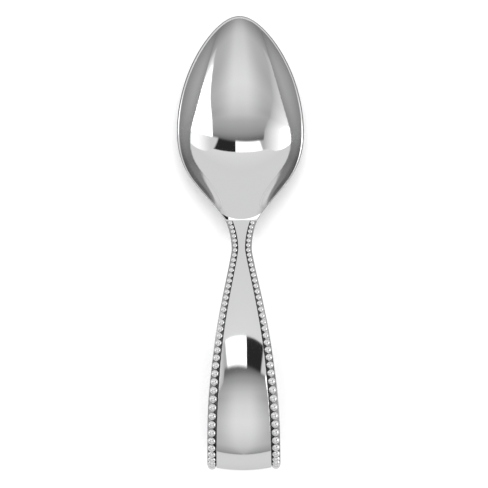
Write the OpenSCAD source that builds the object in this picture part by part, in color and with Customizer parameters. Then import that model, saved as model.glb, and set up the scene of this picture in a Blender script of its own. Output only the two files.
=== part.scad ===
// Baby spoon with a loop handle: a sunk bowl, a crowned strip that is bent round into a
// finger loop, and a graduated border of beads along both edges of the strip.
// The spoon lies on a table as it does in use: +Z is up and +Y points to the bowl's tip.
// The origin is on the table, at the middle of the footprint. Sizes are in millimetres.

/* [Bowl] */
// Width of the bowl over its rim
bowl_w = 28.2; // [24:0.2:34]
// Length of the bowl from its tip to its joint with the handle
bowl_l = 45.5; // [40:0.5:52]
// Height of the rim above the table at the widest place
rim_h = 8.9; // [7:0.1:12]
// How much higher the rim is at the tip
tip_rise = 0.6; // [0:0.1:2]
// Thickness of the bowl's bottom
bowl_t = 1.3; // [1.1:0.1:1.8]
// Width of the rim, seen from above
rim_w = 0.6; // [0.4:0.05:0.8]
// How far the rim is bevelled down to its outer edge
rim_fall = 0.35; // [0.2:0.05:0.4]

/* [Neck] */
// Width of the bowl and the handle at their joint
joint_w = 6.9; // [6:0.1:9]
// Width of the neck at its narrowest place
neck_w = 4.5; // [4.2:0.1:6]
// Distance from the joint back to the narrowest place
neck_back = 6.2; // [4:0.2:9]
// Thickness of the neck under the bead ledges
neck_t = 2; // [1.6:0.1:3]
// Height of the rim's line over the bead ledges where it meets the joint
lip_h = 0.45; // [0.3:0.05:1]
// How far the hollow's lip lies in front of the joint, at its middle
lip_gap = 0.2; // [0.15:0.05:1]
// How far the lip's ends curve forward of its middle
lip_bow = 1.35; // [0.4:0.05:2]

/* [Handle loop] */
// Width of the strip where it is widest
handle_w = 16.3; // [14:0.1:20]
// Thickness of the strip under the bead ledges
strip_t = 1.1; // [0.8:0.1:1.8]
// Angle at which the handle rises from the neck
rise_a = 24; // [16:1:27]
// Radius of the long arch from the neck to the crest
arch_r = 91; // [80:1:120]
// Radius of the gentle bend behind the crest
crest_r = 34; // [26:1:45]
// Angle through which the gentle bend turns down
crest_a = 16; // [8:1:24]
// Radius of the upper part of the end bend
bend_top_r = 11; // [9.5:0.5:14]
// Radius of the lower half of the end bend
bend_low_r = 5.5; // [4:0.5:8]
// Radius of the return under the loop
return_r = 65; // [50:1:90]
// Angle through which the return curls up
return_a = 28; // [22:1:31]

/* [Panel] */
// Height of the panel's edge over the bead ledges where the strip is widest
panel_edge = 0.55; // [0.3:0.05:0.8]
// How much the panel is crowned on top of the loop where the strip is widest
panel_crown = 1.9; // [0.8:0.1:2.2]
// How much of the crown is left under the loop, where the bends have flattened it
end_crown = 0.3; // [0.2:0.05:0.8]

/* [Beads] */
// Spacing of the beads at the neck
pitch_neck = 1.07; // [0.9:0.01:1.3]
// Spacing of the beads where the strip is widest
pitch_wide = 1.9; // [1.5:0.01:2.2]
// Diameter of a bead as a share of the spacing
bead_fill = 0.92; // [0.75:0.01:0.98]
// Plain edge outside the beads where the strip is widest
bead_margin = 0.16; // [0.15:0.01:0.3]
// Plain edge outside the beads at the neck
neck_margin = 0.36; // [0.2:0.01:0.45]
// Gap between the beads and the panel
crevice = 0.06; // [0.05:0.01:0.3]

/* [Hidden] */
silver = [0.86, 0.86, 0.87];

// Shape of the bowl's outline, as shares of its length from the tip: where it is widest, where
// the front is full and where the shoulders fall in, with the exponents of both
widest_share = 0.565;
front_share = 0.782;
front_pow = 3;
front_taper = 0.285;
shoulder_share = 0.9;
shoulder_pow = 8.4;
// Depth of the hollow along its middle, as shares of the bowl's length from the tip: where the
// front has levelled out, where the back begins to rise, how softly and how steeply it rises
keel_front = 0.505;
keel_pow = 2.2;
keel_rise = 0.7065;
keel_rise_run = 0.0624;
keel_rise_slope = 3.288;
// Spacing of the mesh's points along the front, which closes up towards the tip
front_spacing_pow = 1.7;
// Exponents of the strip's flare, of the rim's rise to the neck, of the beads' growth and of the
// crown's fall round the bends
flare_pow = [1.22, 3];
rim_rise_pow = 4;
growth_pow = 1.5;
crown_fall_pow = 2;
// Share of the way to the crest where the crown begins to fall
crown_fall_share = 0.9;
// Share of the bowl's thickness that is left at its tip
tip_thinning = 0.85;
// Length over which the bowl's wall thickens into the neck
shoulder_run = 14;
// Length over which the strip thins out from the neck
thinning_run = 24;
// Draft of the strip's sides, chamfer of its edges and draft of the panel's sides
side_draft = 0.3;
edge_chamfer = 0.15;
panel_draft = 0.08;
// Half width of the flat at the very end of the strip, as an angle short of the ellipse's end
end_flat_a = 4;

// Steps of the meshes: around the bowl, across its wall, and along the strip
front_steps = 26;
rear_steps = 22;
joint_steps = 6;
wall_steps = 12;
arch_steps = 34;
crest_steps = 8;
bend_steps = 18;
return_steps = 26;
end_steps = 6;
reach_steps = 120;
bead_fn = 32;

// Lengths along the strip, from the joint
function arc_len(r, a) = r * a * PI / 180;
crest_s = arc_len(arch_r, rise_a);
shoulder_s = crest_s + arc_len(crest_r, crest_a);
outer_s = shoulder_s + arc_len(bend_top_r, 90 - crest_a);
low_s = outer_s + arc_len(bend_low_r, 90);
return_len = arc_len(return_r, return_a);
neck_s = neck_back / cos(rise_a);
crown_s = crown_fall_share * crest_s;

// Beads: they grow from the neck to the crest and keep their size from there
function pitch(s) = pitch_neck + (pitch_wide - pitch_neck) * pow(min(s / crest_s, 1), growth_pow);
function bead_r(s) = pitch(s) * bead_fill / 2;
wide_bead_r = bead_r(crest_s);
function margin(s) = bead_margin + (neck_margin - bead_margin) * (1 - min(s / crest_s, 1));

// Half width of the strip: it narrows to the neck, flares to its full width round the bend,
// and ends in half an ellipse as long as the return
function strip_hw(s) =
    s < neck_s ? (neck_w + (joint_w - neck_w) * pow(1 - s / neck_s, 2)) / 2
    : s < low_s ?
        let (t = min((s - neck_s) / (outer_s - neck_s), 1))
        neck_w / 2 + (handle_w - neck_w) / 2
        * (1 - pow(1 - pow(t, flare_pow[0]), flare_pow[1]))
    : end_ellipse(s, 0);
// Half width of the strip's rounded end, drawn in by an inset all round
function end_ellipse(s, inset) =
    let (t = min((s - low_s) / (return_len - inset), 1))
    (handle_w / 2 - inset) * sqrt(1 - t * t);
function strip_thickness(s) =
    strip_t + (neck_t - strip_t) * pow(max(0, 1 - s / thinning_run), 2);

// Panel: it stands between the two rows of beads and follows the strip's outline
end_inset = bead_margin + 2 * wide_bead_r + crevice;
panel_end_s = low_s + return_len - end_inset;
function panel_hw(s) =
    s < low_s ? strip_hw(s) - margin(s) - 2 * bead_r(s) - crevice
    : s < panel_end_s ? end_ellipse(s, end_inset)
    : 0;
wide_panel_hw = handle_w / 2 - end_inset;
function panel_edge_h(s) = panel_edge * bead_r(s) / wide_bead_r;
function crown_at(s) =
    let (t = min(max((s - crown_s) / (low_s - crown_s), 0), 1))
    panel_crown + (end_crown - panel_crown)
    * pow(t, crown_fall_pow) * (crown_fall_pow + 1 - crown_fall_pow * t);
function panel_crown_h(s) = crown_at(s) * pow(panel_hw(s) / wide_panel_hw, 2);
function panel_h(s) = panel_edge_h(s) + panel_crown_h(s);

// The strip's side path at its ledges: five arcs, each with its radius and its two headings
arcs = [
    [arch_r, rise_a, 0],
    [crest_r, 0, -crest_a],
    [bend_top_r, -crest_a, -90],
    [bend_low_r, -90, -180],
    [return_r, -180, -180 - return_a]
];
function arc_move(arc, a) = arc[0] * [sin(a) - sin(arc[1]), cos(a) - cos(arc[1])];
// Place and heading at a length along the path from its start: [y, z, heading]
function path_from(start, s, i = 0) =
    let (arc = arcs[i], span = arc_len(arc[0], arc[1] - arc[2]))
    s <= span || i == len(arcs) - 1
    ? let (a = arc[1] - s / arc[0] * 180 / PI) [each start + arc_move(arc, a), a]
    : path_from(start + arc_move(arc, arc[2]), s - span, i + 1);
// Place of the joint: the loop's reach back from it centres the footprint, and the loop's drop
// below it sets the loop on the table
panel_line = [
    for (i = [0 : reach_steps])
        let (s = crest_s + (low_s - crest_s) * i / reach_steps, p = path_from([0, 0], s))
        [p[0], p[1]] + panel_h(s) * [sin(p[2]), cos(p[2])]
];
overall_l = bowl_l - min([for (p = panel_line) p[0]]);
joint_y = overall_l / 2 - bowl_l;
joint_z = -min([for (p = panel_line) p[1]]);
function path_at(s) = path_from([joint_y, joint_z], s);
// A point at x across the strip and b out from its ledges
function strip_point(s, x, b) =
    let (p = path_at(s))
    [x, p[0] + b * sin(p[2]), p[1] + b * cos(p[2])];

// A mesh of rings with the same number of points, closed at both ends by a fan; each four-sided
// cell between two rings is split along its shorter diagonal
function cell(points, a, b, c, d) =
    norm(points[a] - points[c]) < norm(points[b] - points[d])
    ? [[a, b, c], [a, c, d]]
    : [[a, b, d], [b, c, d]];
module ring_solid(first, rings, last) {
    n = len(rings[0]);
    points = [first, for (ring = rings) each ring, last];
    last_i = len(points) - 1;
    faces = [
        for (j = [0 : n - 1]) [0, 1 + (j + 1) % n, 1 + j],
        for (i = [0 : len(rings) - 2], j = [0 : n - 1])
            let (a = 1 + i * n, k = (j + 1) % n)
            each cell(points, a + j, a + k, a + n + k, a + n + j),
        for (j = [0 : n - 1]) [last_i, last_i - n + j, last_i - n + (j + 1) % n]
    ];
    polyhedron(points, faces, convexity = 6);
}

// Bowl's outline: its half width at a distance d from the tip
function front_fill(t) =
    let (r = pow(max(1 - t / front_share, 0), front_pow))
    sqrt(1 - r) * (1 - front_taper * r);
function raw_fall(t) = exp(-pow(t / shoulder_share, shoulder_pow));
function fall(t) = (raw_fall(t) - raw_fall(1)) / (1 - raw_fall(1));
full_hw =
    joint_w / 2
    + (bowl_w / 2 / front_fill(widest_share) - joint_w / 2) / fall(widest_share);
function half_w(d) =
    front_fill(d / bowl_l) * (joint_w / 2 + (full_hw - joint_w / 2) * fall(d / bowl_l));
// The same for the inside, which is drawn in by the rim; the rim dies out at the neck
inside_scale = 1 - 2 * rim_w / bowl_w;
function inside_d(d) = (d + rim_w) / (1 + rim_w / bowl_l);
function outside_d(d) = d * (1 + rim_w / bowl_l) - rim_w;

// Heights: the inside is sunk under the rim's line, most along its middle, and each cross section
// is a parabola that comes up to the rim
widest_d = widest_share * bowl_l;
deepest_d = keel_front * bowl_l;
function keel(t) =
    1 - pow(max(1 - t / keel_front, 0), keel_pow)
    - keel_rise_slope * keel_rise_run * ln(1 + exp((t - keel_rise) / keel_rise_run));
function hollow(o) = (rim_h - bowl_t) * keel(o / bowl_l) / keel(keel_front);
function cross_curve(o) = hollow(o) / pow(inside_scale * half_w(o), 2);
lip_z = joint_z + lip_h * cos(rise_a);
function rim_z(d) =
    rim_h + tip_rise * pow(max(0, 1 - d / widest_d), 2)
    + (lip_z - rim_h) * pow(max(0, (d - widest_d) / (bowl_l - widest_d)), rim_rise_pow);
function inside_z(x, d) =
    let (o = outside_d(d))
    rim_z(d) - hollow(o) + cross_curve(max(o, rim_w)) * x * x;
// Wall thickness: it thins to the tip, and thickens to the neck over the shoulders
function neck_share(d) = pow(max(0, 1 - (bowl_l - d) / shoulder_run), 3);
under_joint_z = joint_z - neck_t * cos(rise_a);
neck_extra = inside_z(joint_w / 2, bowl_l) - bowl_t - under_joint_z;
function wall_t(d) =
    bowl_t * (1 - (1 - tip_thinning) * pow(max(0, 1 - d / widest_d), 2))
    + neck_extra * neck_share(d);
function outside_z(x, d) = inside_z(x, d) - wall_t(d);

// Points round the bowl as [x, d], counter-clockwise from the joint's right corner to its left
// corner, then back across the joint
function side_d() = concat(
    [for (i = [rear_steps : -1 : 1]) widest_d + (bowl_l - widest_d) * i / rear_steps],
    [for (i = [front_steps : -1 : 0]) widest_d * pow(i / front_steps, front_spacing_pow)]
);
function mirrored(points) = [for (i = [len(points) - 1 : -1 : 0]) [-points[i][0], points[i][1]]];
function closed_round(right, across_hw) = concat(
    right,
    [for (i = [1 : len(right) - 1]) mirrored(right)[i]],
    [for (i = [1 : joint_steps - 1]) [across_hw * (2 * i / joint_steps - 1), bowl_l]]
);
function lip_d(x) = bowl_l - lip_gap - lip_bow * min(pow(2 * x / joint_w, 2), 1);

// The three edges of the bowl as [x, d, z]: the inside's, the rim's outer one and the one under it
function inner_edge() = [
    for (p = closed_round(
        [for (d = side_d()) [inside_scale * half_w(d), inside_d(d)]],
        inside_scale * joint_w / 2
    ))
        let (d = min(p[1], lip_d(p[0]))) [p[0], d, inside_z(p[0], d)]
];
function outer_round() = closed_round([for (d = side_d()) [half_w(d), d]], joint_w / 2);
function outer_edge() = [
    for (p = outer_round())
        let (w = neck_share(p[1])) [p[0], p[1], (rim_z(p[1]) - rim_fall) * (1 - w) + joint_z * w]
];
function under_edge() = [
    for (p = outer_round())
        let (w = neck_share(p[1]))
        [p[0] * (1 - w * 2 * side_draft / joint_w), p[1] + w * neck_t * sin(rise_a),
            p[1] == bowl_l ? under_joint_z : outside_z(p[0], p[1])]
];

// A ring of the wall, at a share u of the way from the deepest place to an edge
function inside_ring(u) = [
    for (p = inner_edge())
        let (x = p[0] * u, d = deepest_d + (p[1] - deepest_d) * u) [x, d, inside_z(x, d)]
];
function outside_ring(u) = [
    for (p = under_edge())
        let (x = p[0] * u, d = deepest_d + (p[1] - deepest_d) * u)
        [x, d, outside_z(x, d) + (p[2] - outside_z(p[0], p[1])) * pow(u, 4)]
];
function placed(ring) = [for (p = ring) [p[0], joint_y + bowl_l - p[1], p[2]]];

module bowl() {
    inside = [for (i = [1 : wall_steps]) placed(inside_ring(i / wall_steps))];
    outside = [for (i = [wall_steps : -1 : 1]) placed(outside_ring(i / wall_steps))];
    middle_y = joint_y + bowl_l - deepest_d;
    color(silver)
        ring_solid(
            [0, middle_y, inside_z(0, deepest_d)],
            concat(inside, [placed(outer_edge())], outside),
            [0, middle_y, outside_z(0, deepest_d)]
        );
}

// Handle: one section of the strip, clockwise from its left underside, seen from the bowl
crown_shares = [0.75, 0.5, 0.25];
function section(s) =
    let (
        h = strip_hw(s),
        on_panel = s < panel_end_s,
        p = on_panel ? panel_hw(s) : h / 3,
        edge = on_panel ? panel_edge_h(s) : 0,
        crown = on_panel ? panel_crown_h(s) : 0,
        top = on_panel ? p - min(panel_draft, p / 4) : p * 3 / 4,
        half = [
            [h - min(side_draft, h / 3), -strip_thickness(s)],
            [h, -edge_chamfer],
            [h - min(edge_chamfer, h / 4), 0],
            [p, 0],
            [top, edge],
            for (f = crown_shares) [top * f, edge + crown * (1 - f * f)]
        ]
    )
    concat(half, [[0, edge + crown]], mirrored(half));
function section_ring(s) = [for (q = section(s)) strip_point(s, -q[0], q[1])];
function middle_of(s) = strip_point(s, 0, -strip_thickness(s) / 2);

// Lengths of the sections: even steps along the arcs, then by angle round the end's ellipses
function even(from, to, steps) = [for (i = [0 : steps - 1]) from + (to - from) * i / steps];
panel_end_a = asin((return_len - end_inset) / return_len);
strip_end_a = 90 - end_flat_a;
strip_end_s = low_s + return_len * sin(strip_end_a);
station_s = concat(
    even(0, crest_s, arch_steps),
    even(crest_s, shoulder_s, crest_steps),
    even(shoulder_s, outer_s, bend_steps),
    even(outer_s, low_s, bend_steps),
    [for (a = even(0, strip_end_a, return_steps)) low_s + (return_len - end_inset) * sin(a)],
    [panel_end_s],
    [for (i = [1 : end_steps])
        low_s + return_len * sin(panel_end_a + (strip_end_a - panel_end_a) * i / end_steps)]
);

module handle() {
    color(silver)
        ring_solid(
            middle_of(0),
            [for (s = station_s) section_ring(s)],
            middle_of(strip_end_s)
        );
}

// Beads: domes in a line along the ledge, as many as the spacing gives, up to the strip's end
line_step = 0.5;
line_a = 3;
end_line_inset = bead_margin + wide_bead_r;
first_bead_s = pitch_neck / 2;
bead_line = concat(
    [for (s = [first_bead_s : line_step : low_s]) [s, strip_hw(s) - margin(s) - bead_r(s)]],
    [for (a = [0 : line_a : 90])
        [low_s + (return_len - end_line_inset) * sin(a), (handle_w / 2 - end_line_inset) * cos(a)]]
);
// Number of spacings from the first bead to each point of the line
bead_count = [
    for (i = 0, n = 0; i < len(bead_line);
        i = i + 1,
        n = n + (i < len(bead_line) ? norm(bead_line[i] - bead_line[i - 1]) / pitch(bead_line[i][0]) : 0))
        n
];
last_count = bead_count[len(bead_count) - 1];
row_beads = round(last_count);
count_to_s = [for (i = [0 : len(bead_line) - 1]) [bead_count[i], bead_line[i][0]]];
count_to_x = [for (i = [0 : len(bead_line) - 1]) [bead_count[i], bead_line[i][1]]];

module bead(s, x) {
    r = bead_r(s);
    p = path_at(s);
    translate(strip_point(s, x, 0))
        rotate([-p[2], 0, 0])
            difference() {
                sphere(r, $fn = bead_fn);
                translate([-2 * r, -2 * r, -4 * r])
                    cube(4 * r);
            }
}

module bead_row(side) {
    color(silver)
        for (i = [0 : row_beads - 1]) {
            n = i * last_count / row_beads;
            bead(lookup(n, count_to_s), side * lookup(n, count_to_x));
        }
}

module left_beads() { bead_row(-1); }

module right_beads() { bead_row(1); }

// The bead that closes the border, on the middle of the strip's end
module end_bead() {
    color(silver)
        bead(low_s + return_len - end_line_inset, 0);
}

bowl();
handle();
left_beads();
right_beads();
end_bead();
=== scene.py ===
"""Looks of a loop-handled baby spoon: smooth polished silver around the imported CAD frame.

The silver pieces are drawn from the same sizes and formulas as the CAD solids, only much finer and
with softened edges, because a mirror finish shows every facet. The spoon's sizes are in millimetres
up to the point where a mesh is made, and the studio's are in metres. Angles are in degrees.
"""
import math

import bpy
import numpy as np
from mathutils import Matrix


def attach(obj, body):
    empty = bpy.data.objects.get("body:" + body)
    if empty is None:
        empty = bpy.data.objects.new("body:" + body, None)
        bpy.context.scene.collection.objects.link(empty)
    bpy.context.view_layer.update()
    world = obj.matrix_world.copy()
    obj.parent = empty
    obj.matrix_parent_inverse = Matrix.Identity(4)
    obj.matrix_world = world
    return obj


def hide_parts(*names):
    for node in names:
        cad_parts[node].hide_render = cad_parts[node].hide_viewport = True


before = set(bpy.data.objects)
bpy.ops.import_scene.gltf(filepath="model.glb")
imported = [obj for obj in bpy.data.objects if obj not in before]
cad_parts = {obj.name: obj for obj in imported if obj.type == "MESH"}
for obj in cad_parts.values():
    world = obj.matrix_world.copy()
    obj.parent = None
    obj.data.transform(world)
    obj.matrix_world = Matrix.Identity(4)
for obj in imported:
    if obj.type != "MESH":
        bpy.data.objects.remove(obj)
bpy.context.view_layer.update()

# Bowl
BOWL_W = 28.2
BOWL_L = 45.5
RIM_H = 8.9
TIP_RISE = 0.6
BOWL_T = 1.3
RIM_W = 0.6
RIM_FALL = 0.35
WIDEST_SHARE = 0.565
FRONT_SHARE = 0.782
FRONT_POW = 3
FRONT_TAPER = 0.285
SHOULDER_SHARE = 0.9
SHOULDER_POW = 8.4
KEEL_FRONT = 0.505
KEEL_POW = 2.2
KEEL_RISE = 0.7065
KEEL_RISE_RUN = 0.0624
KEEL_RISE_SLOPE = 3.288
RIM_RISE_POW = 4
TIP_THINNING = 0.85
SHOULDER_RUN = 14
# Neck
JOINT_W = 6.9
NECK_W = 4.5
NECK_BACK = 6.2
NECK_T = 2
LIP_H = 0.45
NECK_SHARE_POW = 3
# Handle loop
HANDLE_W = 16.3
STRIP_T = 1.1
RISE_A = 24
ARCH_R = 91
CREST_R = 34
CREST_A = 16
BEND_TOP_R = 11
BEND_LOW_R = 5.5
RETURN_R = 65
RETURN_A = 28
FLARE_POW = (1.22, 3)
THINNING_RUN = 24
SIDE_DRAFT = 0.3
END_FLAT_A = 4
# Panel
PANEL_EDGE = 0.55
PANEL_CROWN = 1.9
END_CROWN = 0.3
CROWN_FALL_POW = 2
CROWN_FALL_SHARE = 0.9
PANEL_DRAFT = 0.08
# Beads
PITCH_NECK = 1.07
PITCH_WIDE = 1.9
BEAD_FILL = 0.92
BEAD_MARGIN = 0.16
NECK_MARGIN = 0.36
CREVICE = 0.06
GROWTH_POW = 1.5


def arc_len(r, a):
    return r * math.radians(a)


# Lengths along the strip, from the joint
CREST_S = arc_len(ARCH_R, RISE_A)
SHOULDER_S = CREST_S + arc_len(CREST_R, CREST_A)
OUTER_S = SHOULDER_S + arc_len(BEND_TOP_R, 90 - CREST_A)
LOW_S = OUTER_S + arc_len(BEND_LOW_R, 90)
RETURN_LEN = arc_len(RETURN_R, RETURN_A)
END_S = LOW_S + RETURN_LEN
NECK_S = NECK_BACK / math.cos(math.radians(RISE_A))
CROWN_S = CROWN_FALL_SHARE * CREST_S


def pitch(s):
    return PITCH_NECK + (PITCH_WIDE - PITCH_NECK) * np.minimum(s / CREST_S, 1) ** GROWTH_POW


def bead_r(s):
    return pitch(s) * BEAD_FILL / 2


def margin(s):
    return BEAD_MARGIN + (NECK_MARGIN - BEAD_MARGIN) * (1 - np.minimum(s / CREST_S, 1))


WIDE_BEAD_R = PITCH_WIDE * BEAD_FILL / 2
END_INSET = BEAD_MARGIN + 2 * WIDE_BEAD_R + CREVICE
PANEL_END_S = END_S - END_INSET
WIDE_PANEL_HW = HANDLE_W / 2 - END_INSET


def end_ellipse(s, inset):
    t = np.clip((s - LOW_S) / (RETURN_LEN - inset), 0, 1)
    return (HANDLE_W / 2 - inset) * np.sqrt(1 - t * t)


def strip_hw(s):
    """Half width of the strip at a length s from the joint."""
    neck = (NECK_W + (JOINT_W - NECK_W) * np.clip(1 - s / NECK_S, 0, 1) ** 2) / 2
    t = np.clip((s - NECK_S) / (OUTER_S - NECK_S), 0, 1)
    flare = NECK_W / 2 + (HANDLE_W - NECK_W) / 2 * (
        1 - (1 - t ** FLARE_POW[0]) ** FLARE_POW[1]
    )
    return np.where(s < NECK_S, neck, np.where(s < LOW_S, flare, end_ellipse(s, 0)))


def strip_thickness(s):
    return STRIP_T + (NECK_T - STRIP_T) * np.maximum(0, 1 - s / THINNING_RUN) ** 2


def panel_hw(s):
    side = strip_hw(s) - margin(s) - 2 * bead_r(s) - CREVICE
    return np.where(s < LOW_S, side, end_ellipse(s, END_INSET))


def panel_edge_h(s):
    return PANEL_EDGE * bead_r(s) / WIDE_BEAD_R


def panel_crown_h(s):
    t = np.clip((s - CROWN_S) / (LOW_S - CROWN_S), 0, 1)
    fall = t**CROWN_FALL_POW * (CROWN_FALL_POW + 1 - CROWN_FALL_POW * t)
    crown = PANEL_CROWN + (END_CROWN - PANEL_CROWN) * fall
    return crown * (panel_hw(s) / WIDE_PANEL_HW) ** 2


# The strip's side path, with its bends eased into each other over a short length
PATH_STEP = 0.02
EASE = 2.4
EASE_STEPS = 49
RUN_ON = 10
path_s = np.arange(0, END_S + PATH_STEP, PATH_STEP)


def plain_heading(s):
    """The path's heading before easing, with its first and last arcs run on past its ends."""
    corners = [-RUN_ON, 0, CREST_S, SHOULDER_S, OUTER_S, LOW_S, END_S, END_S + RUN_ON]
    turns = [RISE_A, 0, -CREST_A, -90, -180, -180 - RETURN_A]
    before = RISE_A + math.degrees(RUN_ON / ARCH_R)
    after = turns[-1] - math.degrees(RUN_ON / RETURN_R)
    return np.interp(s, corners, [before] + turns + [after])


shifts = np.linspace(-EASE, EASE, EASE_STEPS)
path_heading = np.radians(np.mean([plain_heading(path_s + d) for d in shifts], axis=0))


def running_sum(rate):
    middle = (rate[1:] + rate[:-1]) / 2 * PATH_STEP
    return np.concatenate([[0], np.cumsum(middle)])


path_y = running_sum(-np.cos(path_heading))
path_z = running_sum(np.sin(path_heading))
panel_top = panel_edge_h(path_s) + panel_crown_h(path_s)
OVERALL_L = BOWL_L - (path_y + panel_top * np.sin(path_heading)).min()
JOINT_Y = OVERALL_L / 2 - BOWL_L
JOINT_Z = -(path_z + panel_top * np.cos(path_heading))[path_s < LOW_S].min()


def path_at(s):
    y = JOINT_Y + np.interp(s, path_s, path_y)
    z = JOINT_Z + np.interp(s, path_s, path_z)
    return y, z, np.interp(s, path_s, path_heading)


def strip_points(s, x, b):
    """Points at x across the strip and b out from its ledges."""
    y, z, h = path_at(s)
    return np.stack(np.broadcast_arrays(x, y + b * np.sin(h), z + b * np.cos(h)), -1)


# Meshes
def loft_faces(rings, points):
    """Quads between closed rings that follow one another, counted from vertex 0."""
    i, j = np.meshgrid(np.arange(rings - 1), np.arange(points), indexing="ij")
    k = (j + 1) % points
    a = i * points
    quads = np.stack([a + j, a + k, a + points + k, a + points + j], -1)
    return quads.reshape(-1, 4).tolist()


def closed_loft_faces(rings, points):
    """A loft's faces with a fan at each end, round two middle vertices that follow the rings."""
    faces = loft_faces(rings, points)
    first = rings * points
    start = first - points
    for j in range(points):
        k = (j + 1) % points
        faces.append([first, k, j])
        faces.append([first + 1, start + j, start + k])
    return faces


def volume_of(verts, faces):
    """Six times the volume that the faces enclose, below 0 where they face inwards."""
    total = 0.0
    for face in faces:
        a = verts[face[0]]
        for b, c in zip(face[1:-1], face[2:]):
            total += float(np.dot(a, np.cross(verts[b], verts[c])))
    return total


SHARP_A = math.radians(38)


def silver_piece(name, verts, faces, crevice, material, *nodes):
    """A smooth silver mesh that stands for CAD nodes, with a per-point share of painted shade that is
    1 where the shade is full.
    """
    verts = np.asarray(verts, float)
    if volume_of(verts, faces) < 0:
        faces = [face[::-1] for face in faces]
    mesh = bpy.data.meshes.new(name)
    mesh.from_pydata((verts / 1000).tolist(), [], faces)
    mesh.validate()
    mesh.polygons.foreach_set("use_smooth", [True] * len(mesh.polygons))
    mesh.set_sharp_from_angle(angle=SHARP_A)
    # Per-point share of painted shade, which the silver's material reads
    attribute = mesh.attributes.new("crevice", "FLOAT", "POINT")
    attribute.data.foreach_set("value", np.asarray(crevice, np.float32))
    mesh.materials.append(material)
    piece = bpy.data.objects.new(name, mesh)
    bpy.context.scene.collection.objects.link(piece)
    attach(piece, "root")
    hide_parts(*nodes)
    return piece


# Bowl
WIDEST_D = WIDEST_SHARE * BOWL_L
DEEPEST_D = KEEL_FRONT * BOWL_L
INSIDE_SCALE = 1 - 2 * RIM_W / BOWL_W
LIP_Z = JOINT_Z + LIP_H * math.cos(math.radians(RISE_A))
UNDER_JOINT_Z = JOINT_Z - NECK_T * math.cos(math.radians(RISE_A))


def front_fill(t):
    r = np.maximum(1 - t / FRONT_SHARE, 0) ** FRONT_POW
    return np.sqrt(np.maximum(1 - r, 0)) * (1 - FRONT_TAPER * r)


def shoulder_fall(t):
    end = math.exp(-((1 / SHOULDER_SHARE) ** SHOULDER_POW))
    return (np.exp(-((np.maximum(t, 0) / SHOULDER_SHARE) ** SHOULDER_POW)) - end) / (1 - end)


FULL_HW = JOINT_W / 2 + (BOWL_W / 2 / front_fill(WIDEST_SHARE) - JOINT_W / 2) / shoulder_fall(
    WIDEST_SHARE
)


def half_w(d):
    """Half width of the bowl over its rim at a distance d from its tip."""
    t = d / BOWL_L
    return front_fill(t) * (JOINT_W / 2 + (FULL_HW - JOINT_W / 2) * shoulder_fall(t))


def inside_d(d):
    return (d + RIM_W) / (1 + RIM_W / BOWL_L)


def outside_d(d):
    return d * (1 + RIM_W / BOWL_L) - RIM_W


def keel(t):
    front = 1 - np.maximum(1 - t / KEEL_FRONT, 0) ** KEEL_POW
    rise = np.log(1 + np.exp((t - KEEL_RISE) / KEEL_RISE_RUN))
    return front - KEEL_RISE_SLOPE * KEEL_RISE_RUN * rise


def hollow(o):
    return (RIM_H - BOWL_T) * keel(o / BOWL_L) / keel(KEEL_FRONT)


def rim_z(d):
    tip = TIP_RISE * np.maximum(0, 1 - d / WIDEST_D) ** 2
    back = np.maximum(0, (d - WIDEST_D) / (BOWL_L - WIDEST_D)) ** RIM_RISE_POW
    return RIM_H + tip + (LIP_Z - RIM_H) * back


def inside_z(x, d):
    o = outside_d(d)
    near = np.maximum(o, RIM_W)
    curve = hollow(near) / (INSIDE_SCALE * half_w(near)) ** 2
    return rim_z(d) - hollow(o) + curve * x * x


def neck_share(d):
    return np.maximum(0, 1 - (BOWL_L - d) / SHOULDER_RUN) ** NECK_SHARE_POW


NECK_EXTRA = inside_z(JOINT_W / 2, BOWL_L) - BOWL_T - UNDER_JOINT_Z


def outside_z(x, d):
    thinning = (1 - TIP_THINNING) * np.maximum(0, 1 - d / WIDEST_D) ** 2
    return inside_z(x, d) - BOWL_T * (1 - thinning) - NECK_EXTRA * neck_share(d)


# The land between the lip and the joint: its slope, how far it lies below the joint, how its ends
# curl up from a half width on, how far from the joint the lip may lie, and how the rim blends in
LAND_A = 9
LAND_DROP = 0.17
LAND_CURL = 0.1
LAND_CURL_POW = 1.5
LAND_FLAT = 2.45
LAND_RUN = 2.2
LAND_BLEND = 0.4
LAND_END_POW = 16
LIP_HALVINGS = 30


def land_z(x, d):
    slope = math.tan(math.radians(LAND_A))
    curl = LAND_CURL * np.maximum(np.abs(x) - LAND_FLAT, 0) ** LAND_CURL_POW
    return JOINT_Z - LAND_DROP - slope * (BOWL_L - d) + curl


def lip_d(x):
    """Where the hollow rises to the land, found by halving."""
    low = np.full_like(x, BOWL_L - LAND_RUN)
    high = np.full_like(x, BOWL_L)
    for _ in range(LIP_HALVINGS):
        middle = (low + high) / 2
        below = inside_z(x, middle) < land_z(x, middle)
        low = np.where(below, middle, low)
        high = np.where(below, high, middle)
    return (low + high) / 2


# Steps of the bowl's mesh
REAR_STEPS = 80
FRONT_STEPS = 100
FRONT_SPACING_POW = 1.7
JOINT_STEPS = 24
WALL_STEPS = 80
LAST_WALL_SHARE = 0.997
WALL_SHARES = np.append(np.arange(1, WALL_STEPS) / WALL_STEPS, [LAST_WALL_SHARE, 1])
LOW_STEP_POW = 4
# Painted shade inside the bowl, by shares of the way out to the rim: a wide painted shade on the
# wall, which ends at a share of the neck, and a narrow painted dark line that starts at the bowl's
# widest place
WALL_PAINTED_SHADE = 0.36
WALL_SHADE_FROM = 0.84
WALL_SHADE_POW = 1.5
LINE_PAINTED_SHADE = 0.58
LINE_FROM = 0.94
LINE_RUN = 7
SHADE_NECK_SHARE = 0.08
# Painted shade on the rim, by shares of its width: its inner edge, and a dark line along the neck's
# sides
INNER_EDGE_TO = 0.2
NECK_LINE_PAINTED_SHADE = 0.7
NECK_LINE_FROM = 0.3
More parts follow.
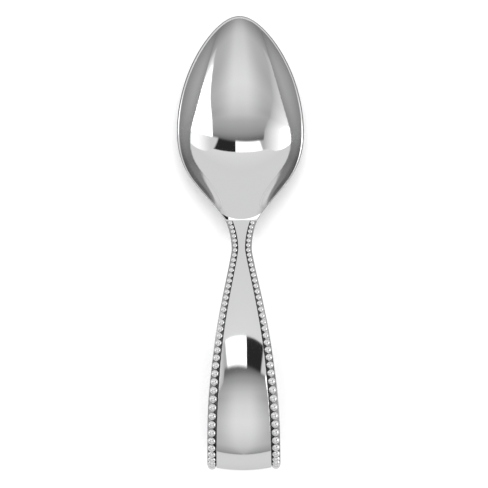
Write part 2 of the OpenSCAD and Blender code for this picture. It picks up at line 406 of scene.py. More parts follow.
# The rim's profile: share of its width, depth under its inner edge, and how much shade is painted
# there
RIM_PROFILE = [
    (0.08, 0.003, 0.3),
    (0.18, 0.012, 0.1),
    (0.27, 0.04, 0),
    (0.38, 0.085, 0),
    (0.5, 0.145, 0),
    (0.6, 0.2, 0),
    (0.67, 0.26, 0.35),
    (0.8, 0.43, 0.7),
    (1, 0.8, 0.8),
]


def closed_round(x, d, across_hw):
    """The right side from the joint to the tip, its mirror back, then across the joint."""
    across = across_hw * (2 * np.arange(1, JOINT_STEPS) / JOINT_STEPS - 1)
    xs = np.concatenate([x, -x[-2::-1], across])
    ds = np.concatenate([d, d[-2::-1], np.full(JOINT_STEPS - 1, BOWL_L)])
    return xs, ds


def inside_rings(in_x, in_d):
    for u in WALL_SHARES:
        x = in_x * u
        d = DEEPEST_D + (in_d - DEEPEST_D) * u
        yield x, d, inside_z(x, d)


def rim_rings(in_x, in_d, out_x, out_d, neck, on_land):
    in_z = inside_z(in_x, in_d)
    out_z = (rim_z(out_d) - RIM_FALL) * (1 - neck) + JOINT_Z * neck
    for v, drop, _ in RIM_PROFILE:
        x = in_x * (1 - v) + out_x * v
        d = in_d * (1 - v) + out_d * v
        bevel = in_z + (out_z + RIM_FALL - in_z) * v - drop
        plain = in_z * (1 - v) + out_z * v
        land = land_z(x, d) + (out_z - land_z(x, d)) * v**LAND_END_POW
        edge = bevel * (1 - neck) + plain * neck
        yield x, d, edge * (1 - on_land) + land * on_land


def outside_rings(out_x, out_d, neck):
    low_x = out_x * (1 - neck * 2 * SIDE_DRAFT / JOINT_W)
    low_d = out_d + neck * NECK_T * math.sin(math.radians(RISE_A))
    low_z = np.where(out_d == BOWL_L, UNDER_JOINT_Z, outside_z(out_x, out_d))
    low_step = low_z - outside_z(low_x, low_d)
    for i in range(WALL_STEPS, 0, -1):
        u = i / WALL_STEPS
        x = low_x * u
        d = DEEPEST_D + (low_d - DEEPEST_D) * u
        yield x, d, outside_z(x, d) + low_step * u**LOW_STEP_POW


# Painted shade at each of the bowl's points: on the wall, in a line behind the widest place and on
# the rim
def bowl_crevices(rings, out_d, neck, on_land):
    crevice = np.zeros((rings, len(out_d)))
    behind = np.clip((out_d - WIDEST_D) / LINE_RUN, 0, 1)
    fade = np.clip(1 - neck / SHADE_NECK_SHARE, 0, 1)
    for i, u in enumerate(WALL_SHARES):
        near = max(0, (u - WALL_SHADE_FROM) / (1 - WALL_SHADE_FROM))
        line = max(0, (u - LINE_FROM) / (1 - LINE_FROM))
        wall_shade = WALL_PAINTED_SHADE * near**WALL_SHADE_POW * fade
        crevice[i] = wall_shade + LINE_PAINTED_SHADE * line * behind * (1 - neck)
    for i, (v, _, shade_share) in enumerate(RIM_PROFILE):
        neck_shade = NECK_LINE_PAINTED_SHADE * neck if v > NECK_LINE_FROM else 0
        rim_shade = shade_share * fade if v < INNER_EDGE_TO else shade_share
        crevice[len(WALL_SHARES) + i] = np.maximum(rim_shade, neck_shade) * (1 - on_land)
    return crevice


def build_bowl(material):
    rear = WIDEST_D + (BOWL_L - WIDEST_D) * np.arange(REAR_STEPS, 0, -1) / REAR_STEPS
    front = WIDEST_D * (np.arange(FRONT_STEPS, -1, -1) / FRONT_STEPS) ** FRONT_SPACING_POW
    side = np.concatenate([rear, front])
    hw = half_w(side)
    hw[-1] = 0
    in_x, in_d = closed_round(INSIDE_SCALE * hw, inside_d(side), INSIDE_SCALE * JOINT_W / 2)
    lip = lip_d(in_x)
    on_land = np.clip((in_d - lip) / LAND_BLEND + 0.5, 0, 1)
    in_d = np.minimum(in_d, lip)
    out_x, out_d = closed_round(hw, side, JOINT_W / 2)
    neck = neck_share(out_d)
    rings = [
        *inside_rings(in_x, in_d),
        *rim_rings(in_x, in_d, out_x, out_d, neck, on_land),
        *outside_rings(out_x, out_d, neck),
    ]
    tip_y = JOINT_Y + BOWL_L
    body = np.concatenate([np.stack([x, tip_y - d, z], -1) for x, d, z in rings])
    middles = [[0, tip_y - DEEPEST_D, z(0.0, DEEPEST_D)] for z in (inside_z, outside_z)]
    verts = np.concatenate([body, middles])
    faces = closed_loft_faces(len(rings), len(in_x))
    crevice = np.append(bowl_crevices(len(rings), out_d, neck, on_land).ravel(), [0, 0])
    return silver_piece("spoon_bowl", verts, faces, crevice, material, "bowl")


# Handle
UNDER_STEPS = 8
CORNER_STEPS = 4
CROWN_STEPS = 34
# Sizes of the section's corners, at most a share of the shorter side, and of the holds beside them
CORNERS = {"under": 0.3, "edge": 0.18, "foot": 0.06, "panel": 0.09}
CORNER_SHARE = 0.4
HOLD = 0.02
HOLD_SHARE = 0.1
TINY = 1e-6
# Limits of the drafts on a narrow strip, and the places of the panel's points where it has ended
SIDE_DRAFT_SHARE = 1 / 3
PANEL_DRAFT_SHARE = 1 / 4
BARE_FOOT_SHARE = 1 / 3
BARE_TOP_SHARE = 3 / 4
# Painted shade beside and between the beads: points on the ledge by shares of its width, with how
# much shade is painted on the strip's edge, both halves of the ledge and the lower points of the
# panel's side
OUTER_LEDGE = (0.35, 0.5)
INNER_LEDGE = (0.58, 0.8)
EDGE_PAINTED_SHADE = 0.6
OUTER_LEDGE_PAINTED_SHADE = 0.45
INNER_LEDGE_PAINTED_SHADE = 1
PANEL_SIDE_PAINTED_SHADE = 0.45
PANEL_SIDE_POINTS = 3
# Numbers of sections along the strip
ARCH_SECTIONS = 190
CREST_SECTIONS = 60
BEND_TOP_SECTIONS = 100
BEND_LOW_SECTIONS = 70
RETURN_SECTIONS = 120
END_SECTIONS = 24


def soft_corner(before, corner, after, size):
    """Points that round a corner of a section, held close to its two sides."""
    a = before - corner
    b = after - corner
    a_len = np.linalg.norm(a, axis=-1, keepdims=True)
    b_len = np.linalg.norm(b, axis=-1, keepdims=True)
    reach = np.minimum(size, CORNER_SHARE * np.minimum(a_len, b_len))
    a = a / np.maximum(a_len, TINY)
    b = b / np.maximum(b_len, TINY)
    start = corner + a * reach
    stop = corner + b * reach
    points = [start + a * np.minimum(HOLD, HOLD_SHARE * a_len)]
    for i in range(CORNER_STEPS + 1):
        t = i / CORNER_STEPS
        points.append((1 - t) ** 2 * start + 2 * t * (1 - t) * corner + t * t * stop)
    points.append(stop + b * np.minimum(HOLD, HOLD_SHARE * b_len))
    return points


def half_section(s):
    """Half of the strip's section at each s, from its middle below to its middle above, as
    [x, b] points, with the painted shade of each point."""
    h = strip_hw(s)
    on_panel = s < PANEL_END_S - TINY
    p = np.where(on_panel, panel_hw(s), h * BARE_FOOT_SHARE)
    edge = np.where(on_panel, panel_edge_h(s), 0)
    crown = np.where(on_panel, panel_crown_h(s), 0)
    draft = np.minimum(PANEL_DRAFT, p * PANEL_DRAFT_SHARE)
    top = np.where(on_panel, p - draft, p * BARE_TOP_SHARE)
    thick = strip_thickness(s)
    zero = np.zeros_like(s)

    def at(x, b):
        return np.stack(np.broadcast_arrays(x, b), -1)

    under = at(h - np.minimum(SIDE_DRAFT, h * SIDE_DRAFT_SHARE), -thick)
    rim = at(h, zero)
    foot = at(p, zero)
    shoulder = at(top, edge)
    crown_at = [
        at(top * f, edge + crown * (1 - f * f))
        for f in (1 - np.arange(1, CROWN_STEPS + 1) / CROWN_STEPS)
    ]
    points = []
    crevice = []

    def add(new, value):
        points.extend(new)
        crevice.extend([value] * len(new))

    add([at(zero, -thick)], 0)
    add([under * [i / UNDER_STEPS, 1] for i in range(1, UNDER_STEPS - 1)], 0)
    add(soft_corner(at(zero, -thick), under, rim, CORNERS["under"]), 0)
    # Painted shade on the strip's edge, on the ledge and at the foot of the panel's side
    add(soft_corner(under, rim, foot, CORNERS["edge"]), EDGE_PAINTED_SHADE)
    add([rim * (1 - f) + foot * f for f in OUTER_LEDGE], OUTER_LEDGE_PAINTED_SHADE)
    add([rim * (1 - f) + foot * f for f in INNER_LEDGE], INNER_LEDGE_PAINTED_SHADE)
    add(soft_corner(rim, foot, shoulder, CORNERS["foot"]), INNER_LEDGE_PAINTED_SHADE)
    shoulder_points = soft_corner(foot, shoulder, crown_at[0], CORNERS["panel"])
    add(shoulder_points[:PANEL_SIDE_POINTS], PANEL_SIDE_PAINTED_SHADE)
    add(shoulder_points[PANEL_SIDE_POINTS:], 0)
    add(crown_at, 0)
    return np.stack(points, 1), np.array(crevice)


def stations():
    """Lengths from the joint at which the strip's sections stand."""

    def even(a, b, n):
        return a + (b - a) * np.arange(n) / n

    end_a = np.radians(90 - END_FLAT_A)
    panel_a = np.linspace(0, end_a, RETURN_SECTIONS)
    panel_end_a = math.asin((RETURN_LEN - END_INSET) / RETURN_LEN)
    strip_a = panel_end_a + (end_a - panel_end_a) * np.arange(1, END_SECTIONS + 1) / END_SECTIONS
    return np.concatenate(
        [
            even(0, CREST_S, ARCH_SECTIONS),
            even(CREST_S, SHOULDER_S, CREST_SECTIONS),
            even(SHOULDER_S, OUTER_S, BEND_TOP_SECTIONS),
            even(OUTER_S, LOW_S, BEND_LOW_SECTIONS),
            LOW_S + (RETURN_LEN - END_INSET) * np.sin(panel_a),
            [PANEL_END_S],
            LOW_S + RETURN_LEN * np.sin(strip_a),
        ]
    )


def build_handle(material):
    s = stations()
    half, crevice = half_section(s)
    left = half[:, -2:0:-1] * [-1, 1]
    ring = np.concatenate([half, left], 1)
    ring_crevice = np.concatenate([crevice, crevice[-2:0:-1]])
    body = strip_points(s[:, None], ring[..., 0], ring[..., 1]).reshape(-1, 3)
    middles = [strip_points(e, 0.0, -strip_thickness(e) / 2) for e in (s[0], s[-1])]
    verts = np.concatenate([body, middles])
    faces = closed_loft_faces(len(s), ring.shape[1])
    crevices = np.concatenate([np.tile(ring_crevice, len(s)), [0, 0]])
    return silver_piece("spoon_handle", verts, faces, crevices, material, "handle")


# Beads
LINE_STEP = 0.5
LINE_A = 3
END_LINE_INSET = BEAD_MARGIN + WIDE_BEAD_R
BEAD_LONS = 32
BEAD_LATS = 12
BEAD_SINK = 0.04
BEAD_SWELL = 1.065
# Painted shade on a bead, by shares of its radius: round its foot, and on the side towards the panel
BEAD_FOOT = 0.25
BEAD_SIDE_FROM = 0.82
BEAD_SIDE_RUN = 0.16
BEAD_SIDE_PAINTED_SHADE = 0.3


def bead_places():
    """Lengths and half widths of the beads' centres on one side, as many as the spacing gives."""
    s = np.arange(PITCH_NECK / 2, LOW_S + TINY, LINE_STEP)
    a = np.radians(np.arange(0, 90 + LINE_A, LINE_A))
    line_s = np.concatenate([s, LOW_S + (RETURN_LEN - END_LINE_INSET) * np.sin(a)])
    line_x = np.concatenate(
        [
            strip_hw(s) - margin(s) - bead_r(s),
            (HANDLE_W / 2 - END_LINE_INSET) * np.cos(a),
        ]
    )
    steps = np.hypot(np.diff(line_s), np.diff(line_x)) / pitch(line_s[1:])
    count = np.concatenate([[0], np.cumsum(steps)])
    beads = round(count[-1])
    at = np.arange(beads) * count[-1] / beads
    return np.interp(at, count, line_s), np.interp(at, count, line_x)


def bead_mesh(s, x):
    """A polished dome on the ledge, closed below."""
    r = float(bead_r(s)) * BEAD_SWELL
    lat = np.linspace(math.pi / 2, 0, BEAD_LATS + 1)[:-1]
    lon = np.linspace(0, 2 * math.pi, BEAD_LONS, endpoint=False)
    out = np.concatenate([[r], r * np.sin(lat)])
    up = np.concatenate([[-BEAD_SINK], r * np.cos(lat)])
    across = x + out[:, None] * np.cos(lon)
    along = out[:, None] * np.sin(lon)
    y, z, h = path_at(s)
    body = np.stack(
        [
            across,
            y - along * np.cos(h) + up[:, None] * np.sin(h),
            z + along * np.sin(h) + up[:, None] * np.cos(h),
        ],
        -1,
    ).reshape(-1, 3)
    top = [x, y + r * np.sin(h), z + r * np.cos(h)]
    faces = loft_faces(len(out), BEAD_LONS)
    start = (len(out) - 1) * BEAD_LONS
    faces += [[start + j, start + (j + 1) % BEAD_LONS, len(body)] for j in range(BEAD_LONS)]
    faces.append(list(range(BEAD_LONS))[::-1])
    # Painted shade round the bead's foot and on its side towards the panel
    low = np.clip(1 - up / (BEAD_FOOT * r), 0, 1) ** 2
    inward = -math.copysign(1, x) * out[:, None] * np.cos(lon) / r
    shaded = np.clip((inward - BEAD_SIDE_FROM) / BEAD_SIDE_RUN, 0, 1)
    crevice = np.maximum(low[:, None], BEAD_SIDE_PAINTED_SHADE * shaded).ravel()
    return np.concatenate([body, [top]]), faces, np.append(crevice, 0)


def build_beads(name, node, places, material):
    verts = []
    faces = []
    crevices = []
    count = 0
    for s, x in places:
        v, f, c = bead_mesh(s, x)
        verts.append(v)
        crevices.append(c)
        faces += [[i + count for i in face] for face in f]
        count += len(v)
    return silver_piece(
        name, np.concatenate(verts), faces, np.concatenate(crevices), material, node
    )


# Materials
# Sockets of the mix node for numbers and for colours: first value, second value and result
NUMBER_SOCKETS = (2, 3, 0)
COLOUR_SOCKETS = (6, 7, 2)


class Graph:
    """Short names for the nodes that a material or the world is wired from."""

    def __init__(self, tree):
        self.tree = tree
        tree.nodes.clear()

    def node(self, kind, **settings):
        made = self.tree.nodes.new(kind)
        for key, value in settings.items():
            setattr(made, key, value)
        return made

    def put(self, socket, value):
        if isinstance(value, bpy.types.NodeSocket):
            self.tree.links.new(value, socket)
        else:
            socket.default_value = value

    def math(self, operation, *values, clamp=False):
        made = self.node("ShaderNodeMath", operation=operation, use_clamp=clamp)
        for socket, value in zip(made.inputs, values):
            self.put(socket, value)
        return made.outputs[0]

    def step(self, value, low, high):
        """From 0 at low to 1 at high, with a smooth rise between; low may be the larger angle."""
        made = self.node("ShaderNodeMapRange", interpolation_type="SMOOTHSTEP")
        self.put(made.inputs["Value"], value)
        made.inputs["From Min"].default_value = low
        made.inputs["From Max"].default_value = high
        return made.outputs["Result"]

    def mix(self, kind, sockets, share, a, b):
        made = self.node("ShaderNodeMix", data_type=kind, clamp_factor=True)
        first, second, result = sockets
        self.put(made.inputs[0], share)
        self.put(made.inputs[first], a)
        self.put(made.inputs[second], b)
        return made.outputs[result]

    def blend(self, share, a, b):
        return self.mix("FLOAT", NUMBER_SOCKETS, share, a, b)

    def blend_colours(self, share, a, b):
        return self.mix("RGBA", COLOUR_SOCKETS, share, a, b)

    def ramp(self, value, stops):
        """A grey that follows stops of (place, grey), with places from 0 to 1."""
        made = self.node("ShaderNodeValToRGB")
        ramp = made.color_ramp
        ramp.interpolation = "LINEAR"
        while len(ramp.elements) < len(stops):
            ramp.elements.new(0.5)
        for element, (place, grey) in zip(ramp.elements, stops):
            element.position = place
            element.color = (grey, grey, grey, 1)
        self.put(made.inputs[0], value)
        return made.outputs[0]


# Noise of the polish, per metre: clouds, and hairlines that run along the spoon
CLOUD_SCALE = 160
CLOUD_DETAIL = 3
HAIRLINE_SCALE = 700
HAIRLINE_DETAIL = 5
HAIRLINE_STRETCH = (6, 0.6, 1)
# How clouds and hairlines change the roughness, and how deep the hairlines are
CLOUD_ROUGH = 0.022
HAIRLINE_ROUGH = (-0.006, 0.012)
BUMP_STRENGTH = 0.02
BUMP_DISTANCE = 0.00005
# Painted shade: its dark colour, how much rougher the metal is there, and how clouds thin and thicken
# it
PAINTED_SHADE_COLOUR = (0.06, 0.058, 0.056, 1)
PAINTED_SHADE_ROUGH = 0.22
PAINTED_SHADE_RANGE = (0.75, 1.15)
# Grey and roughness of the large polished faces and of the small struck beads, and silver's tint
COOL_TINT = 0.005
POLISHED_GREY = 0.925
POLISHED_ROUGH = 0.028
# The beads' grey is lighter than the faces': painted brightness on their reflections
BRIGHTENED_BEAD_GREY = 0.985
STRUCK_ROUGH = 0.05


def silver_material(name, grey, roughness):
    material = bpy.data.materials.new(name)
    material.use_nodes = True
    graph = Graph(material.node_tree)
    coords = graph.node("ShaderNodeTexCoord").outputs["Object"]

    def noise(scale, detail, stretch=(1, 1, 1)):
        mapping = graph.node("ShaderNodeMapping")
        mapping.inputs["Scale"].default_value = stretch
        graph.put(mapping.inputs["Vector"], coords)
        made = graph.node("ShaderNodeTexNoise")
        made.inputs["Scale"].default_value = scale
        made.inputs["Detail"].default_value = detail
        graph.put(made.inputs["Vector"], mapping.outputs[0])
        return made.outputs[0]

    crevice = graph.node("ShaderNodeAttribute", attribute_name="crevice").outputs["Fac"]
    clouds = noise(CLOUD_SCALE, CLOUD_DETAIL)
    hairlines = noise(HAIRLINE_SCALE, HAIRLINE_DETAIL, HAIRLINE_STRETCH)
    # Painted shade: the mesh's per-point shade share turns the silver dark and rougher
    shade_share = graph.math("MULTIPLY", crevice, graph.blend(clouds, *PAINTED_SHADE_RANGE), clamp=True)
    colour = graph.blend_colours(shade_share, (grey, grey, grey + COOL_TINT, 1), PAINTED_SHADE_COLOUR)
    polish = graph.blend(clouds, roughness, roughness + CLOUD_ROUGH)
    polish = graph.math("ADD", polish, graph.blend(hairlines, *HAIRLINE_ROUGH))
    rough = graph.math("ADD", polish, graph.math("MULTIPLY", shade_share, PAINTED_SHADE_ROUGH))
    bump = graph.node("ShaderNodeBump")
    bump.inputs["Strength"].default_value = BUMP_STRENGTH
    bump.inputs["Distance"].default_value = BUMP_DISTANCE
    graph.put(bump.inputs["Height"], hairlines)
    shader = graph.node("ShaderNodeBsdfPrincipled")
    shader.inputs["Metallic"].default_value = 1
    graph.put(shader.inputs["Base Color"], colour)
    graph.put(shader.inputs["Roughness"], rough)
    graph.put(shader.inputs["Normal"], bump.outputs[0])
    output = graph.node("ShaderNodeOutputMaterial")
    graph.put(output.inputs["Surface"], shader.outputs[0])
    return material


silver = silver_material("polished_silver", POLISHED_GREY, POLISHED_ROUGH)
# The beads get a lighter copy of the silver, which paints on brightness
bead_silver = silver_material("brightened_bead_silver", BRIGHTENED_BEAD_GREY, STRUCK_ROUGH)
spoon_bowl = build_bowl(silver)
build_handle(silver)
row_s, row_x = bead_places()
build_beads("beads_left", "left_beads", zip(row_s, -row_x), bead_silver)
build_beads("beads_right", "right_beads", zip(row_s, row_x), bead_silver)
build_beads("bead_end", "end_bead", [(END_S - END_LINE_INSET, 0.0)], bead_silver)

# Studio: a white floor, and a room painted round it that the silver mirrors
FLOOR_Z = -0.00014
FLOOR_SIZE = 6
FLOOR_COLOUR = (0.9, 0.9, 0.9, 1)
MIRRORED_FLOOR_COLOUR = (0.49, 0.49, 0.49, 1)
SILVER_REFLECTS = 0.92


def linear(grey):
    """A display grey from 0 to 255 as light that silver mirrors to that grey."""
    v = grey / 255
    v = v / 12.92 if v <= 0.04045 else ((v + 0.055) / 1.055) ** 2.4
    return v / SILVER_REFLECTS


def build_floor():
    material = bpy.data.materials.new("floor")
    material.use_nodes = True
    graph = Graph(material.node_tree)
    mirrored = graph.node("ShaderNodeLightPath").outputs["Is Glossy Ray"]
    shader = graph.node("ShaderNodeBsdfDiffuse")
    colour = graph.blend_colours(mirrored, FLOOR_COLOUR, MIRRORED_FLOOR_COLOUR)
    graph.put(shader.inputs["Color"], colour)
    output = graph.node("ShaderNodeOutputMaterial")
    graph.put(output.inputs["Surface"], shader.outputs[0])
    half = FLOOR_SIZE / 2
    mesh = bpy.data.meshes.new("floor")
    corners = [(-half, -half), (half, -half), (half, half), (-half, half)]
    mesh.from_pydata([(x, y, FLOOR_Z) for x, y in corners], [], [(0, 1, 2, 3)])
    mesh.materials.append(material)
    floor = bpy.data.objects.new("floor", mesh)
    bpy.context.scene.collection.objects.link(floor)


# The room is painted by two angles from straight up: turned towards the handle's end, and aside to
# the right. A STEP is the pair of places between which one tone turns into the next.
ANGLE_FROM = -60
ANGLE_RANGE = 160
MIDDLE_STEP = (-1, 1)
# Light that is more than white, what lights the floor, and what the camera sees past the floor
WHITE = 2.6
WHITE_BOX = 1.5
FLOOR_LIGHT = 1.03
BACKDROP_LIGHT = 1.0
# Edge between the room's back and the boxes, which tilts, and bows more towards the sides
BACK_STEP = (-21.7, -20.9)
BACK_TILT = 0.008
BOW = (0.3, 0.7)
BOW_STEP = (50, 68)
# Edge between the boxes and the card, which tilts
BOX_STEP = (-12.8, -10.4)
BOX_TILT = 0.025
# Boxes: their split, slope and place of both outer sides, and the tones of the black one and past it
SPLIT_STEP = (9.8, 11.4)
BLACK_GREY = 38
BLACK_SIDE = (-0.68, 36)
BLACK_SIDE_STEP = (-1, 3)
WHITE_SIDE = (0.57, -30)
WHITE_SIDE_STEP = (-1, 4)
BESIDE_BLACK_GREY = 204
BESIDE_BLACK_LIGHT = 1.12
BESIDE_BLACK_STEP = (2, 26)
# Shade of the card's sides at its back, top and front
SHADE_BACK = 0.95
SHADE_TOP = 0.6
SHADE_FRONT = 0.75
SHADE_TOP_STEP = (-9, 9)
SHADE_FRONT_STEP = (45, 75)
SHADE_SIDE_STEP = (0.2, 1)
CARD_EDGE_STEP = (-1, 1)
# Past the card: a grey that whitens over a run on its left, and a grey line before white on its right
LEFT_NEAR_GREY = 172
LEFT_FAR_GREY = 250
LEFT_RUN = 23
LEFT_WHITE_STEP = (LEFT_RUN, 36)
RIGHT_LINE_GREY = 160
RIGHT_LINE_STEP = (-1, 3)
RIGHT_WHITE_STEP = (60, 70)
# Greys of the room's back, towards the bowl's tip
BACK_GREYS = [(-56, 206), (-46, 205), (-38, 208), (-30, 211), (-21, 216)]
# Greys of the overhead card along its middle, and how far it reaches to both sides, by angle; the
# reach is wired as a share of a full one
CARD_GREYS = [
    (-11, 100),
    (-9.5, 114),
    (-8.2, 133),
    (-6.5, 148),
    (-5, 155),
    (-3, 168),
    (-1, 178),
    (2, 191),
    (5, 197),
    (9, 204),
    (14, 211),
    (28, 219),
    (41, 214),
    (55, 206),
    (69, 197),
    (80, 181),
    (88, 164),
    (94, 155),
]
RIGHT_REACH = [
    (-12, 53),
    (-5, 54),
    (2, 56),
    (26, 63),
    (50, 68),
    (64, 72),
    (77, 77),
    (84, 92),
    (90, 99),
]
LEFT_REACH = [(-12, 46), (-6, 48), (3, 59), (31, 68), (54, 72), (77, 78), (84, 92), (90, 99)]
FULL_REACH = 100
# How white the room is past the card's right side, by angle
RIGHT_GREYS = [(66, 255), (70, 240), (77, 190), (83, 172)]
# Greys of what is mirrored twice, inside the bowl's walls and between the beads
TWICE_GREYS = [
    (-45, 145),
    (-40, 134),
    (-35, 126),
    (-26, 124),
    (-18.5, 128),
    (-13.5, 127),
    (-6.5, 141),
    (-0.5, 149),
    (5, 154),
    (16, 160),
    (26, 163),
    (36, 163),
    (44, 160),
    (51, 157),
]
# What the bowl's shoulders mirror twice: dark near the middle, grey farther out, and brighter past a
# slanting line, to make up for the light that the rim's painted shade takes
TWICE_DEPTH = 2.5
TWICE_LOW_STEP = (-12, -20)
BAND_END_SHADE = 0.35
BAND_END_STEP = (4, 1)
SHOULDER_GREY = 207
SHOULDER_STEP = (7.5, 9.5)
RIM_LINE_SLOPE = 0.79
RIM_LINE_STEP = (-13.4, -10.4)
RIM_MAKE_UP = 1.32


class Room:
    """The room's light by direction, wired in the world's graph."""

    def __init__(self, graph):
        self.graph = graph
        split = graph.node("ShaderNodeSeparateXYZ")
        graph.put(split.inputs[0], graph.node("ShaderNodeTexCoord").outputs["Generated"])
        x, y, z = split.outputs
        to_end = graph.math("MULTIPLY", y, -1)
        self.turned = self.degrees("ARCTAN2", to_end, z)
        self.raised = self.degrees("ARCSINE", to_end)
        self.aside = self.degrees("ARCTAN2", x, z)
        self.away = graph.math("ABSOLUTE", self.aside)
        self.on_right = graph.step(self.aside, *MIDDLE_STEP)
        right_reach = self.by_angle([(a, v / FULL_REACH) for a, v in RIGHT_REACH])
        left_reach = self.by_angle([(a, v / FULL_REACH) for a, v in LEFT_REACH])
        reach = graph.blend(self.on_right, left_reach, right_reach)
        self.reach = graph.math("MULTIPLY", reach, FULL_REACH)
        self.beyond = graph.math("SUBTRACT", self.away, self.reach)
        self.left = self.left_side()

    def degrees(self, operation, *values):
        return self.graph.math("MULTIPLY", self.graph.math(operation, *values), 180 / math.pi)

    def by_angle(self, stops):
        """A value that follows stops of (angle turned, value)."""
        start = self.graph.math("SUBTRACT", self.turned, ANGLE_FROM)
        place = self.graph.math("DIVIDE", start, ANGLE_RANGE, clamp=True)
        return self.graph.ramp(place, [((a - ANGLE_FROM) / ANGLE_RANGE, v) for a, v in stops])

    def greys(self, stops):
        return self.by_angle([(a, linear(v)) for a, v in stops])

    def left_side(self):
        rise = (linear(LEFT_FAR_GREY) - linear(LEFT_NEAR_GREY)) / LEFT_RUN
        out = self.graph.math("MAXIMUM", self.beyond, 0)
        grey = self.graph.math("MULTIPLY_ADD", out, rise, linear(LEFT_NEAR_GREY))
        return self.graph.blend(self.graph.step(self.beyond, *LEFT_WHITE_STEP), grey, WHITE)

    def right_side(self):
        graph = self.graph
        white = graph.blend(graph.step(self.turned, *RIGHT_WHITE_STEP), WHITE, 1.0)
        white = graph.math("MULTIPLY", self.greys(RIGHT_GREYS), white)
        return graph.blend(graph.step(self.beyond, *RIGHT_LINE_STEP), linear(RIGHT_LINE_GREY), white)

    def card(self):
        """The overhead card, darker towards its sides, with the room to its left and right."""
        graph = self.graph
        side_shade = graph.blend(graph.step(self.turned, *SHADE_TOP_STEP), SHADE_BACK, SHADE_TOP)
        side_shade = graph.blend(graph.step(self.turned, *SHADE_FRONT_STEP), side_shade, SHADE_FRONT)
        outward = graph.math("DIVIDE", self.away, self.reach)
        shade = graph.blend(graph.step(outward, *SHADE_SIDE_STEP), 1.0, side_shade)
        card = graph.math("MULTIPLY", self.greys(CARD_GREYS), shade)
        sides = graph.blend(self.on_right, self.left, self.right_side())
        return graph.blend(graph.step(self.beyond, *CARD_EDGE_STEP), card, sides)

    def boxes(self):
        """A white box and a black one on its right, between the card and the room's back."""
        graph = self.graph
        boxes = graph.blend(graph.step(self.aside, *SPLIT_STEP), WHITE_BOX, linear(BLACK_GREY))
        black_side = graph.math("MULTIPLY_ADD", self.turned, *BLACK_SIDE)
        past_black = graph.step(graph.math("SUBTRACT", self.aside, black_side), *BLACK_SIDE_STEP)
        lit = graph.step(self.beyond, *BESIDE_BLACK_STEP)
        beside_black = graph.blend(lit, linear(BESIDE_BLACK_GREY), BESIDE_BLACK_LIGHT)
        white_side = graph.math("MULTIPLY_ADD", self.turned, *WHITE_SIDE)
        past_white = graph.step(graph.math("SUBTRACT", white_side, self.aside), *WHITE_SIDE_STEP)
        return graph.blend(past_white, graph.blend(past_black, boxes, beside_black), self.left)

    def mirrored_once(self):
        graph = self.graph
        box_line = graph.math("MULTIPLY_ADD", self.aside, -BOX_TILT, self.turned)
        front = graph.blend(graph.step(box_line, *BOX_STEP), self.boxes(), self.card())
        bow = graph.blend(graph.step(self.away, *BOW_STEP), *BOW)
        bowed = graph.blend(bow, self.turned, self.raised)
        back_line = graph.math("MULTIPLY_ADD", self.aside, -BACK_TILT, bowed)
        return graph.blend(graph.step(back_line, *BACK_STEP), self.greys(BACK_GREYS), front)

    def mirrored_twice(self):
        graph = self.graph
        walls = self.by_angle([(a, linear(v) / SILVER_REFLECTS) for a, v in TWICE_GREYS])
        low = graph.step(self.turned, *TWICE_LOW_STEP)
        band_end = graph.math("MULTIPLY", low, graph.step(self.away, *BAND_END_STEP))
        walls = graph.math("MULTIPLY", walls, graph.blend(band_end, 1.0, BAND_END_SHADE))
        rim_line = graph.math("MULTIPLY_ADD", self.turned, RIM_LINE_SLOPE, self.away)
        make_up = graph.blend(graph.step(rim_line, *RIM_LINE_STEP), 1.0, RIM_MAKE_UP)
        shoulder = graph.math("MULTIPLY", make_up, linear(SHOULDER_GREY) / SILVER_REFLECTS)
        at_shoulder = graph.math("MULTIPLY", low, graph.step(self.away, *SHOULDER_STEP))
        return graph.blend(at_shoulder, walls, shoulder)


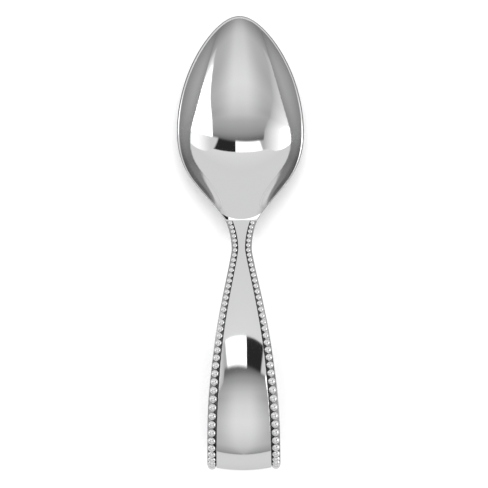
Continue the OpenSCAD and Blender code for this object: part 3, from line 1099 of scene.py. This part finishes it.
def build_world():
    world = bpy.data.worlds.new("studio")
    world.use_nodes = True
    bpy.context.scene.world = world
    graph = Graph(world.node_tree)
    room = Room(graph)
    path = graph.node("ShaderNodeLightPath")
    twice = graph.math("GREATER_THAN", path.outputs["Ray Depth"], TWICE_DEPTH)
    light = graph.blend(twice, room.mirrored_once(), room.mirrored_twice())
    light = graph.blend(path.outputs["Is Diffuse Ray"], light, FLOOR_LIGHT)
    light = graph.blend(path.outputs["Is Camera Ray"], light, BACKDROP_LIGHT)
    shader = graph.node("ShaderNodeBackground")
    graph.put(shader.inputs["Color"], light)
    output = graph.node("ShaderNodeOutputWorld")
    graph.put(output.inputs["Surface"], shader.outputs[0])


# Key lamp
KEY_SIZE = 0.9
KEY_POWER = 16.5
KEY_Y = 0.65
KEY_Z = 1.9


def build_light(bowl):
    """A lamp in front of the tip, whose shadow lies behind the bowl's shoulders. Only the bowl
    blocks it."""
    data = bpy.data.lights.new("key", "AREA")
    data.shape = "DISK"
    data.size = KEY_SIZE
    data.energy = KEY_POWER
    light = bpy.data.objects.new("key", data)
    light.location = (0, KEY_Y, KEY_Z)
    light.rotation_euler = (-math.atan2(KEY_Y, KEY_Z), 0, 0)
    light.visible_glossy = False
    light.visible_camera = False
    bpy.context.scene.collection.objects.link(light)
    blockers = bpy.data.collections.new("key_blockers")
    blockers.objects.link(bowl)
    light.light_linking.blocker_collection = blockers


# Camera: straight above, turned a little, as far away as a product photographer's, with the width
# that it frames at about the height of the bowl's rim
CAMERA_H = 1.5
CAMERA_X = 0.00053
CAMERA_Y = -0.00018
CAMERA_TURN_RAD = -0.0106
SENSOR = 36
FRAME_W = 0.1083
FRAME_Z = 0.010
NEAREST = 0.01
FARTHEST = 50


def build_camera():
    data = bpy.data.cameras.new("camera")
    data.sensor_width = SENSOR
    data.lens = SENSOR * (CAMERA_H - FRAME_Z) / FRAME_W
    data.clip_start = NEAREST
    data.clip_end = FARTHEST
    camera = bpy.data.objects.new("camera", data)
    camera.location = (CAMERA_X, CAMERA_Y, CAMERA_H)
    camera.rotation_euler = (0, 0, CAMERA_TURN_RAD)
    bpy.context.scene.collection.objects.link(camera)
    bpy.context.scene.camera = camera


build_floor()
build_world()
build_light(spoon_bowl)
build_camera()
bpy.context.scene.view_settings.view_transform = "Standard"
